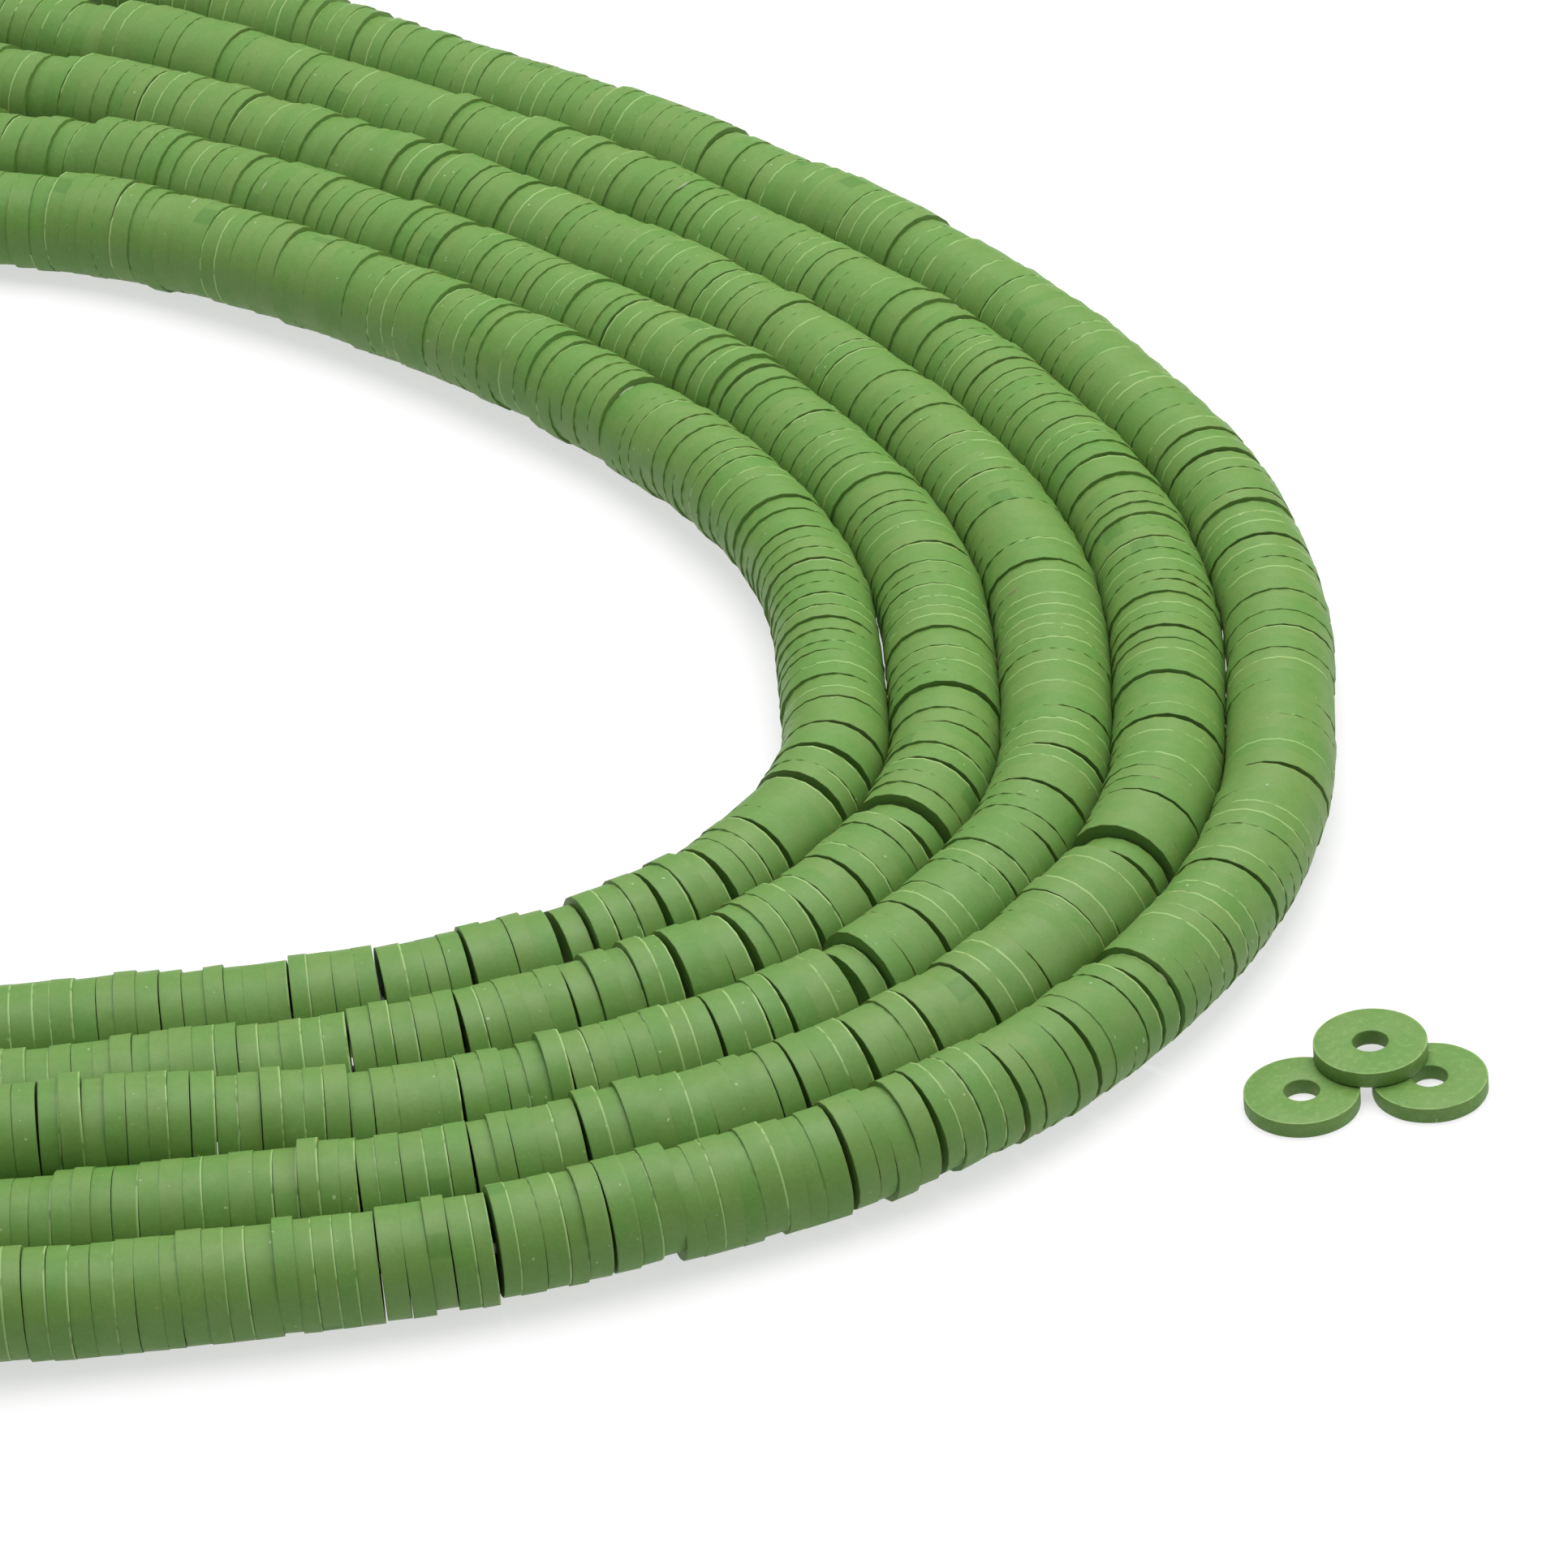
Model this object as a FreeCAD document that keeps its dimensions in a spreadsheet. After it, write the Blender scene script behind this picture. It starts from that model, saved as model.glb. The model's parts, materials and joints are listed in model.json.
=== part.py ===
import FreeCAD, Part
import Sketcher
import math
import os

# Five strands of flat clay disc beads, laid side by side in a U on a flat surface, with three loose
# discs beside them. Millimetres, +Z up, the surface at Z = 0, the origin under the middle of it all.
#
# A strand is a cord with a knot at each end and some 315 discs threaded on it. Pressed together the
# discs read as short straight stacks with a seam at every disc, so a stack is one solid here. One disc
# on each strand sits loose enough to spin, and the group at each end slides as far as the knot.

SIZES = (
    ("bead_diameter", "6.0", "outside of a threaded disc"),
    ("bead_hole", "2.0", "hole of every disc"),
    ("bead_pitch", "1.16", "thickness of a threaded disc with its seam"),
    ("seam_depth", "0.08", "depth and half width of the seam between discs"),
    ("stack_gap", "0.16", "least gap between two stacks"),
    ("stack_sag", "0.07", "most that a bend may leave a straight stack"),
    ("spin_gap", "0.30", "free space on each side of a disc that spins"),
    ("end_slack", "4.0", "bare cord between the last disc and the knot"),
    ("cord_diameter", "0.7", "stringing cord"),
    ("knot_diameter", "2.8", "overhand knot, wider than the hole"),
    ("knot_reach", "1.7", "from the end of the bead row to the knot's centre"),
    ("tail_length", "9.0", "cord beyond the knot"),
    ("rise", "1.9", "how far the middle strand is lifted at its front"),
    ("loose_diameter", "6.45", "outside of a loose disc"),
    ("top_diameter", "6.35", "outside of the loose disc that lies on the others"),
    ("loose_thickness", "0.95", "thickness of a loose disc"),
    ("rim_radius", "0.06", "rounding of a disc's rim"),
    ("loose_gap", "0.06", "air under the loose disc that lies on the others"),
    ("shift_x", "72.8", "from the route's zero to the origin"),
    ("shift_y", "-54.7", "from the route's zero to the origin"),
)

# Where the innermost and the outermost cord run, seen from above: along the front arm, round the
# turn on the right and back along the far arm. The strands between them divide the space evenly.
INNER_ROUTE = ((-172, -17), (-60, -20), (-40, -20), (-21, -19), (-5.5, -13.5), (3.5, -1), (3, 23.5),
               (-6, 41), (-23, 60), (-43.5, 75), (-156, 92))
OUTER_ROUTE = ((-126, -46), (-60, -45.2), (-40, -45), (-18, -44), (10, -35.5), (27.5, -14),
               (31, 19.5), (19, 49.5), (-2, 74.5), (-39.5, 105.5), (-108, 152))
LIFTED_POINTS = (1, 2)

STRANDS = ("inner", "second", "middle", "fourth", "outer")
LIFTED_STRAND = "middle"
STRETCHES = (("front_arm", 0.30), ("front_bend", 0.44), ("turn", 0.58), ("back_bend", 0.72),
             ("back_arm", 1.0))
SPINNER_AT = {"inner": 0.405, "second": 0.43, "middle": 0.385, "fourth": 0.41, "outer": 0.375}
STACK_COUNTS = (6, 9, 5, 8, 7, 10, 6, 8)
SHORTEST_STACK = 2
END_COUNT = 8

# Centres of the loose discs, from the same zero as the routes.
LOOSE_LEFT = (26.9, -32.2)
LOOSE_RIGHT = (34.0, -31.9)
LOOSE_TOP = (31.0, -29.5)

UP = FreeCAD.Vector(0, 0, 1)


def make_sheet(doc):
    sheet = doc.addObject("Spreadsheet::Sheet", "sizes")
    for row, (alias, value, meaning) in enumerate(SIZES, start=1):
        sheet.set("A%d" % row, meaning)
        sheet.set("B%d" % row, value)
        sheet.setAlias("B%d" % row, alias)
    doc.recompute()
    return sheet


def strand_points(sheet, number):
    """The cord's corners for one strand, its bead row ending at the first and the last."""
    share = number / (len(STRANDS) - 1)
    lifted = STRANDS[number] == LIFTED_STRAND
    points = []
    for index, (inner, outer) in enumerate(zip(INNER_ROUTE, OUTER_ROUTE)):
        x = inner[0] + (outer[0] - inner[0]) * share
        y = inner[1] + (outer[1] - inner[1]) * share
        z = sheet.bead_diameter / 2
        if lifted and index in LIFTED_POINTS:
            z += sheet.rise
        points.append(FreeCAD.Vector(x, y, z))
    return points


def beyond(end, before, reach, drop):
    """The point that lies REACH past END on the level, seen from BEFORE, and DROP lower."""
    along = FreeCAD.Vector(end.x - before.x, end.y - before.y, 0).normalize()
    return end + along * reach - UP * drop


def route_edges(points):
    """Straight runs joined by tangent arcs."""
    edges = []
    start = points[0]
    for before, corner, after in zip(points, points[1:], points[2:]):
        back = before - corner
        ahead = after - corner
        turn = math.pi - back.getAngle(ahead)
        if turn < 0.001:
            continue
        cut = 0.45 * min(back.Length, ahead.Length)
        radius = cut / math.tan(turn / 2)
        into = corner + back.normalize() * cut
        out = corner + ahead.normalize() * cut
        middle = corner + (back + ahead).normalize() * (radius / math.cos(turn / 2) - radius)
        edges.append(Part.LineSegment(start, into).toShape())
        edges.append(Part.Arc(into, middle, out).toShape())
        start = out
    edges.append(Part.LineSegment(start, points[-1]).toShape())
    return edges


class Route:
    """A cord's line that answers where it is after a given length."""

    def __init__(self, edges):
        self.edges = edges
        self.length = sum(edge.Length for edge in edges)

    def at(self, distance):
        left = min(max(distance, 0.0), self.length)
        for edge in self.edges[:-1]:
            if left <= edge.Length:
                break
            left -= edge.Length
        else:
            edge = self.edges[-1]
        parameter = edge.getParameterByLength(min(left, edge.Length))
        return edge.valueAt(parameter)

    def heading(self, start, end):
        return (self.at(end) - self.at(start)).normalize()

    def sag(self, start, end):
        """How far the line leaves the straight between two of its points."""
        a = self.at(start)
        b = self.at(end)
        chord_middle = (a + b) * 0.5
        return (self.at((start + end) / 2) - chord_middle).Length


def stack_solid(sheet, count):
    """COUNT pressed discs on the Z axis, from Z = 0 up, with a seam groove at each joint."""
    radius = sheet.bead_diameter / 2
    hole = sheet.bead_hole / 2
    seam = sheet.seam_depth
    outline = [(hole, 0), (radius - seam, 0)]
    for number in range(count):
        foot = number * sheet.bead_pitch
        head = foot + sheet.bead_pitch
        outline += [(radius, foot + seam), (radius, head - seam), (radius - seam, head)]
    outline += [(hole, count * sheet.bead_pitch), (hole, 0)]
    face = Part.Face(Part.makePolygon([FreeCAD.Vector(r, 0, z) for r, z in outline]))
    return face.revolve(FreeCAD.Vector(0, 0, 0), UP, 360)


def stand_on(shape, foot, heading):
    """SHAPE moved from the Z axis onto FOOT, pointing along HEADING."""
    placement = FreeCAD.Placement(foot, FreeCAD.Rotation(UP, heading))
    return shape.transformed(placement.toMatrix(), True)


def longest_count(sheet, route, start, wanted):
    """The most discs, up to WANTED, that stay within the allowed sag from START on."""
    for count in range(wanted, SHORTEST_STACK, -1):
        if route.sag(start, start + count * sheet.bead_pitch) <= sheet.stack_sag:
            return count
    return SHORTEST_STACK


def stack_place(sheet, route, start, count):
    """Foot and heading of a straight stack that splits the bend's sag with the line."""
    length = count * sheet.bead_pitch
    heading = route.heading(start, start + length)
    middle = route.at(start + length / 2)
    chord_middle = (route.at(start) + route.at(start + length)) * 0.5
    centre = middle * 0.5 + chord_middle * 0.5
    return centre - heading * (length / 2), heading


def gap_after(sheet, route, heading, start):
    """The gap that keeps the inner sides of two stacks apart where the line bends."""
    ahead = route.heading(start, start + 3 * sheet.bead_pitch)
    return sheet.stack_gap + sheet.bead_diameter * math.tan(heading.getAngle(ahead) / 2)


def lay_strand(sheet, route, name):
    """Every stack of a strand in order, as (stretch, count, foot, heading)."""
    first = sheet.end_slack
    last = route.length - sheet.end_slack
    end_length = END_COUNT * sheet.bead_pitch
    laid = [("front_end", END_COUNT) + stack_place(sheet, route, first, END_COUNT)]
    at = first + end_length + sheet.stack_gap
    until = last - end_length - sheet.stack_gap
    spin_at = route.length * SPINNER_AT[name]
    spun = False
    turn = STRANDS.index(name)
    while at + sheet.bead_pitch < until:
        if not spun and at >= spin_at:
            at += sheet.spin_gap
            foot, heading = stack_place(sheet, route, at, 1)
            laid.append(("spinner", 1, foot, heading))
            at += sheet.bead_pitch + sheet.spin_gap + gap_after(sheet, route, heading, at)
            spun = True
        room = int((until - at) / sheet.bead_pitch)
        count = longest_count(sheet, route, at, STACK_COUNTS[turn % len(STACK_COUNTS)])
        count = max(min(count, room), 1)
        foot, heading = stack_place(sheet, route, at, count)
        share = (at + count * sheet.bead_pitch / 2) / route.length
        stretch = next(label for label, end in STRETCHES if share <= end)
        laid.append((stretch, count, foot, heading))
        at += count * sheet.bead_pitch
        at += gap_after(sheet, route, heading, at)
        turn += 1
    back = stack_place(sheet, route, last - end_length, END_COUNT)
    laid.append(("back_end", END_COUNT) + back)
    return laid


def put(doc, sheet, name, shape):
    piece = doc.addObject("Part::Feature", name)
    piece.Label = name
    piece.Shape = shape
    piece.Placement = FreeCAD.Placement(origin_shift(sheet), FreeCAD.Rotation())
    return piece


def origin_shift(sheet):
    return FreeCAD.Vector(sheet.shift_x, sheet.shift_y, 0)


def bead_nodes(doc, sheet, name, laid):
    """One node for each stretch of a strand, holding its stacks as separate solids."""
    pieces = []
    labels = ["front_end"] + [label for label, end in STRETCHES] + ["back_end"]
    for label in labels:
        stacks = []
        for stretch, count, foot, heading in laid:
            if stretch == label:
                stacks.append(stand_on(stack_solid(sheet, count), foot, heading))
        node = "%s_strand_%s_beads" % (name, label)
        pieces.append(put(doc, sheet, node, Part.makeCompound(stacks)))
        print(node, len(stacks), "stacks")
    return pieces


def thread_run(edge, thread):
    """The round cord along one straight run or one arc, its section drawn as two half circles."""
    start = edge.valueAt(edge.FirstParameter)
    ahead = edge.tangentAt(edge.FirstParameter)
    side = ahead.cross(UP).normalize() * thread
    over = side.cross(ahead)
    left = Part.Arc(start + over, start - side, start - over)
    right = Part.Arc(start - over, start + side, start + over)
    section = Part.Face(Part.Wire([left.toShape(), right.toShape()]))
    if not hasattr(edge.Curve, "Radius"):
        return section.extrude(ahead * edge.Length)
    turned = math.degrees(edge.Length / edge.Curve.Radius)
    return section.revolve(edge.Curve.Center, edge.Curve.Axis, turned)


def cord_node(doc, sheet, name, points):
    """The cord, whole from tail to tail through every hole, with the knot tied in each end."""
    height = sheet.bead_diameter / 2
    thread = sheet.cord_diameter / 2
    drop = height - thread - 0.1
    knots = [beyond(points[0], points[1], sheet.knot_reach, 0),
             beyond(points[-1], points[-2], sheet.knot_reach, 0)]
    tips = [beyond(points[0], points[1], sheet.knot_reach + sheet.tail_length, drop),
            beyond(points[-1], points[-2], sheet.knot_reach + sheet.tail_length, drop)]
    line = [tips[0], knots[0]] + points[1:-1] + [knots[1], tips[1]]
    edges = route_edges(line)
    radii = [round(edge.Curve.Radius, 1) for edge in edges if hasattr(edge.Curve, "Radius")]
    runs = [thread_run(edge, thread) for edge in edges]
    tube = runs[0].multiFuse(runs[1:])
    length = sum(edge.Length for edge in edges)
    print(name, "cord radii", radii, "length", round(length, 1),
          "volume ratio", round(tube.Volume / (math.pi * thread ** 2 * length), 4))
    near = knots[0] - tips[0]
    far = tips[1] - knots[1]
    balls = [Part.makeSphere(sheet.knot_diameter / 2, knots[0], near, -90, 90, 360),
             Part.makeSphere(sheet.knot_diameter / 2, knots[1], far, -90, 90, 360)]
    return put(doc, sheet, name + "_strand_cord", tube.multiFuse(balls))


def disc_sketch(body, diameter):
    """Rim and hole as two circles about the origin, both sized from the sheet."""
    sketch = body.newObject("Sketcher::SketchObject", body.Name + "_outline")
    plane = next(item for item in body.Origin.OriginFeatures if item.Role == "XY_Plane")
    sketch.AttachmentSupport = [(plane, "")]
    sketch.MapMode = "FlatFace"
    for cell, start_radius in ((diameter, 3.0), ("bead_hole", 1.0)):
        circle = Part.Circle(FreeCAD.Vector(0, 0, 0), UP, start_radius)
        ring = sketch.addGeometry(circle, False)
        sketch.addConstraint(Sketcher.Constraint("Coincident", ring, 3, -1, 1))
        size = sketch.addConstraint(Sketcher.Constraint("Diameter", ring, 2 * start_radius))
        sketch.setExpression("Constraints[%d]" % size, "sizes.%s" % cell)
    return sketch


def disc_body(doc, name, diameter, thickness, placement):
    """A single flat disc with a round hole and softened rims, standing on its own XY plane."""
    body = doc.addObject("PartDesign::Body", name)
    body.Label = name
    sketch = disc_sketch(body, diameter)
    pad = body.newObject("PartDesign::Pad", name + "_plate")
    pad.Profile = sketch
    pad.setExpression("Length", "sizes.%s" % thickness)
    sketch.Visibility = False
    doc.recompute()
    widest = max(edge.Curve.Radius for edge in pad.Shape.Edges if hasattr(edge.Curve, "Radius"))
    rims = []
    for number, edge in enumerate(pad.Shape.Edges, start=1):
        if hasattr(edge.Curve, "Radius") and edge.Curve.Radius > widest - 0.01:
            rims.append("Edge%d" % number)
    rim = body.newObject("PartDesign::Fillet", name + "_rim")
    rim.Base = (pad, rims)
    rim.setExpression("Radius", "sizes.rim_radius")
    body.Placement = placement
    return body


def spinner_disc(doc, sheet, name, laid):
    foot, heading = next((f, h) for stretch, count, f, h in laid if stretch == "spinner")
    placement = FreeCAD.Placement(foot + origin_shift(sheet), FreeCAD.Rotation(UP, heading))
    return disc_body(doc, name + "_strand_spinner_disc", "bead_diameter", "bead_pitch", placement)


def loose_disc(doc, sheet, name, diameter, centre, height):
    foot = FreeCAD.Vector(centre[0], centre[1], height) + origin_shift(sheet)
    placement = FreeCAD.Placement(foot, FreeCAD.Rotation())
    return disc_body(doc, name, diameter, "loose_thickness", placement)


def build_strand(doc, sheet, number):
    name = STRANDS[number]
    points = strand_points(sheet, number)
    route = Route(route_edges(points))
    print(name, "bead row", round(route.length - 2 * sheet.end_slack, 1))
    laid = lay_strand(sheet, route, name)
    pieces = bead_nodes(doc, sheet, name, laid)
    pieces.append(cord_node(doc, sheet, name, points))
    pieces.append(spinner_disc(doc, sheet, name, laid))
    return pieces


def check_and_write(doc, pieces):
    for item in doc.Objects:
        if "Invalid" in item.State or "Error" in item.State:
            raise RuntimeError("%s did not compute: %s" % (item.Name, item.State))
    os.makedirs("parts", exist_ok=True)
    for piece in pieces:
        if piece.Shape.isNull() or not piece.Shape.isValid():
            raise RuntimeError("%s has no valid shape" % piece.Label)
        piece.Shape.exportStep("parts/%s.step" % piece.Label)


def main():
    doc = FreeCAD.newDocument("disc_bead_strands")
    sheet = make_sheet(doc)
    pieces = []
    for number in range(len(STRANDS)):
        pieces += build_strand(doc, sheet, number)
    over = sheet.loose_thickness + sheet.loose_gap
    pieces.append(loose_disc(doc, sheet, "loose_disc_left", "loose_diameter", LOOSE_LEFT, 0))
    pieces.append(loose_disc(doc, sheet, "loose_disc_right", "loose_diameter", LOOSE_RIGHT, 0))
    pieces.append(loose_disc(doc, sheet, "loose_disc_top", "top_diameter", LOOSE_TOP, over))
    doc.recompute()
    check_and_write(doc, pieces)
    box = FreeCAD.BoundBox()
    for piece in pieces:
        box.add(piece.Shape.BoundBox)
    print("box", [round(v, 2) for v in (box.XMin, box.XMax, box.YMin, box.YMax, box.ZMin, box.ZMax)])


main()
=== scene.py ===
# %% [markdown]
# # Strands of green disc beads
#
# Five strands of flat clay disc beads lie side by side in a U, and three loose discs lie beside
# them. Each disc is sliced from a rod of coloured clay, so it is a short cylinder with crisp rims,
# a hole, and a little burr where the blade left it. About 315 of them make a strand.
#
# The lesson is repetition with a difference: one plain disc is made once, and then every copy gets
# its own thickness, lean, size and shade, which is what makes a row of beads look like real beads.

# %% The fixed frame
import json
import math
import random

import bmesh
import bpy
import numpy as np
from mathutils import Matrix, Vector


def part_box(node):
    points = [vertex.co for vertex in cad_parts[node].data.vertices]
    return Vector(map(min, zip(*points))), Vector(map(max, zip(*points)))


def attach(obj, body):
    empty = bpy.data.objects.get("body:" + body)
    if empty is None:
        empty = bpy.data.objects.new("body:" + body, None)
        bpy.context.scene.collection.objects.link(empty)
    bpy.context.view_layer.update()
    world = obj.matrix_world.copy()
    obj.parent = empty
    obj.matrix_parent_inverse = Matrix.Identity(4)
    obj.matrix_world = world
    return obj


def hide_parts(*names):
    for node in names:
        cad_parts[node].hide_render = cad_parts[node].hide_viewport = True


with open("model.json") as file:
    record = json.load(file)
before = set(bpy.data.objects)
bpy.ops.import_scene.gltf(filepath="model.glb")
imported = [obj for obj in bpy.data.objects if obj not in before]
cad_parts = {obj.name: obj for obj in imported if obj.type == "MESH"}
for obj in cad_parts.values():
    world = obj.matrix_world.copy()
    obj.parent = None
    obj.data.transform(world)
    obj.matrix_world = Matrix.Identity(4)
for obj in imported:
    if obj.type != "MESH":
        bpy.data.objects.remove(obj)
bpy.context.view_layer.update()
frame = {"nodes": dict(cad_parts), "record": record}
MM = 0.001
UP = Vector((0, 0, 1))

# %% [markdown]
# ## Camera
#
# A long lens from a low stand keeps the strands nearly parallel while the near ones still look a
# little larger than the far ones. The camera looks at a point on the strands' height, a little to
# the left of the turn, from 33 degrees above the level, and it is rolled a few degrees.

# %% Camera
LOOK_AT = Vector((72.8, -54.7, 3.0)) * MM
LOOK_DOWN = math.radians(33)
ROLL = math.radians(5)
STAND_OFF = 531 * MM
LENS = 210.8

camera = bpy.data.objects.new("camera", bpy.data.cameras.new("camera"))
bpy.context.scene.collection.objects.link(camera)
ahead = Vector((0, math.cos(LOOK_DOWN), -math.sin(LOOK_DOWN)))
camera.location = LOOK_AT - ahead * STAND_OFF
camera.rotation_mode = "QUATERNION"
level = ahead.to_track_quat("-Z", "Y").to_matrix().to_4x4()
camera.rotation_quaternion = (level @ Matrix.Rotation(-ROLL, 4, "Z")).to_quaternion()
camera.data.lens = LENS
camera.data.sensor_width = 36
camera.data.clip_start = 0.01
bpy.context.scene.camera = camera
print("camera", tuple(round(v, 3) for v in camera.location))

# %% [markdown]
# ## Floor and light
#
# The beads lie on a white light table. It glows a little itself, and its surface throws back only
# some of the light that falls on it: so it stays white, shadows stay small and soft, and the walls
# that face the camera get little light from below. The lamps stand above, behind and on both sides,
# and the camera's side of the room is dark. Four broad suns light the whole table alike, and a
# small softbox above the beads adds a little where the camera looks.

# %% Floor and light
FLOOR_SPAN = 4.0
TABLE_GREY = 0.28
TABLE_GLOW = 0.62
ROOM_LIGHT = 0.20
# name, strength, the way it shines, how wide it looks
SUNS = (("ceiling_light", 2.0, (0.0, -0.03, -1.0), 0.8),
        ("back_light", 0.6, (0.15, -1.0, -0.9), 1.2),
        ("right_light", 1.25, (-1.0, 0.1, -0.6), 1.0),
        ("left_light", 0.45, (1.0, 0.0, -0.6), 1.0))
SOFTBOX_PLACE = Vector((115, 10, 200)) * MM
SOFTBOX_SIZE = 200 * MM
SOFTBOX_POWER = 0.34


def make_floor():
    mesh = bpy.data.meshes.new("table_top")
    shape = bmesh.new()
    bmesh.ops.create_grid(shape, x_segments=1, y_segments=1, size=FLOOR_SPAN / 2)
    shape.to_mesh(mesh)
    shape.free()
    floor = bpy.data.objects.new("table_top", mesh)
    bpy.context.scene.collection.objects.link(floor)
    white = bpy.data.materials.new("white_table")
    white.use_nodes = True
    surface = white.node_tree.nodes["Principled BSDF"]
    surface.inputs["Base Color"].default_value = (TABLE_GREY, TABLE_GREY, TABLE_GREY, 1)
    surface.inputs["Roughness"].default_value = 0.9
    surface.inputs["Specular IOR Level"].default_value = 0.1
    surface.inputs["Emission Color"].default_value = (1, 1, 1, 1)
    surface.inputs["Emission Strength"].default_value = TABLE_GLOW
    mesh.materials.append(white)


def make_sun(name, energy, towards, angle):
    """A broad sun that shines along TOWARDS; ANGLE is how wide it looks from the table."""
    sun = bpy.data.objects.new(name, bpy.data.lights.new(name, "SUN"))
    bpy.context.scene.collection.objects.link(sun)
    sun.data.energy = energy
    sun.data.angle = angle
    direction = Vector(towards).normalized()
    sun.rotation_mode = "QUATERNION"
    sun.rotation_quaternion = direction.to_track_quat("-Z", "Y")
    sun.location = LOOK_AT - direction


def make_softbox(name, energy, place, size):
    """A square white panel at PLACE that faces the point the camera looks at."""
    panel = bpy.data.objects.new(name, bpy.data.lights.new(name, "AREA"))
    bpy.context.scene.collection.objects.link(panel)
    panel.data.energy = energy
    panel.data.size = size
    panel.location = place
    panel.rotation_mode = "QUATERNION"
    panel.rotation_quaternion = (LOOK_AT - place).to_track_quat("-Z", "Y")


world = bpy.data.worlds.new("soft_white")
bpy.context.scene.world = world
world.use_nodes = True
world.node_tree.nodes["Background"].inputs["Color"].default_value = (1, 1, 1, 1)
world.node_tree.nodes["Background"].inputs["Strength"].default_value = ROOM_LIGHT
bpy.context.scene.view_settings.view_transform = "Standard"
make_floor()
for sun in SUNS:
    make_sun(*sun)
make_softbox("near_softbox", SOFTBOX_POWER, SOFTBOX_PLACE, SOFTBOX_SIZE)

# %% [markdown]
# ## Shader maths
#
# A shader is a sum: a little more of one colour here, a little less shine there. This small class
# holds one socket and lets ordinary arithmetic build the Math nodes, so a recipe can be read. All
# other nodes come from its one method, which takes the kind, the settings and the inputs.

# %% A socket that can be added and multiplied


class Shade:
    """One output socket of a material's node tree."""

    def __init__(self, tree, socket=None):
        self.tree = tree
        self.socket = socket

    def make(self, kind, settings=None, inputs=None, output=0):
        node = self.tree.nodes.new(kind)
        for key, value in (settings or {}).items():
            setattr(node, key, value)
        for key, value in (inputs or {}).items():
            if isinstance(value, Shade):
                self.tree.links.new(value.socket, node.inputs[key])
            else:
                node.inputs[key].default_value = value
        return Shade(self.tree, node.outputs[output])

    def maths(self, operation, first, second):
        return self.make("ShaderNodeMath", {"operation": operation}, {0: first, 1: second})

    def __add__(self, other):
        return self.maths("ADD", self, other)

    def __sub__(self, other):
        return self.maths("SUBTRACT", self, other)

    def __rsub__(self, other):
        return self.maths("SUBTRACT", other, self)

    def __mul__(self, other):
        return self.maths("MULTIPLY", self, other)

    __radd__ = __add__
    __rmul__ = __mul__

    def fraction(self):
        return self.make("ShaderNodeMath", {"operation": "FRACT"}, {0: self})

    def size(self):
        return self.make("ShaderNodeMath", {"operation": "ABSOLUTE"}, {0: self})

    def smooth(self, low, high):
        """0 below LOW, 1 above HIGH, and a soft step between."""
        return self.make("ShaderNodeMapRange", {"interpolation_type": "SMOOTHSTEP"},
                         {"Value": self, "From Min": low, "From Max": high})

    def noise(self, where, scale, detail=2.0, rough=0.5):
        return self.make("ShaderNodeTexNoise", {}, {"Vector": where, "Scale": scale,
                                                    "Detail": detail, "Roughness": rough})

    def blend(self, first, second):
        """FIRST where this value is 0 and SECOND where it is 1."""
        return self.make("ShaderNodeMix", {"data_type": "RGBA"}, {0: self, 6: first, 7: second}, 2)


def new_material(name):
    material = bpy.data.materials.new(name)
    material.use_nodes = True
    surface = material.node_tree.nodes["Principled BSDF"]
    return material, Shade(material.node_tree), surface


def plug(surface, name, shade):
    shade.tree.links.new(shade.socket, surface.inputs[name])


print("shader steps", [step for step in vars(Shade) if not step.startswith("_")])

# %% [markdown]
# ## Baked clay
#
# The clay is a soft leaf green that was never mixed quite evenly: some discs lean towards olive and
# some towards fresh green, and within a disc there are cloudy patches. On some discs a pale line is
# painted along one rim: a painted highlight where the sharp rim would catch the light. Along the
# other rim of every disc a thin dark line is painted shade in the seam between discs. A few carry a
# dark smudge as long as a millimetre, here and there a white crumb sticks, and a pale dust clings
# to the clay, most of all to the cut faces of the loose discs. Each disc carries a number called
# tint.
# It shifts the disc's tone, decides which marks the disc has, and moves the patches, so that no
# pattern runs on from one disc to the next. The map called rim measures round the disc and across
# its wall.

# %% Clay material
OLIVE = (0.108, 0.203, 0.042, 1)
FRESH = (0.078, 0.190, 0.030, 1)
PALE = (0.250, 0.390, 0.135, 1)
SHADOW_GREEN = (0.034, 0.074, 0.013, 1)
SMUDGE = (0.046, 0.140, 0.018, 1)
CRUMB = (0.42, 0.50, 0.31, 1)
# how many cells of each noise make a metre
CLOUD_CELLS = 380
LINE_BREAK_CELLS = 900
DUST_CELLS = 2100
CRUMB_CELLS = 2600
GRAIN_CELLS = 5200
# one disc in ten has a smudge; it reaches this share of the way round to both sides
SMUDGED_FROM = 0.90
SMUDGE_HALF = 0.040
BUMP_DEPTH = 0.06 * MM
GLOW_DEPTH = 0.6 * MM


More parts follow.
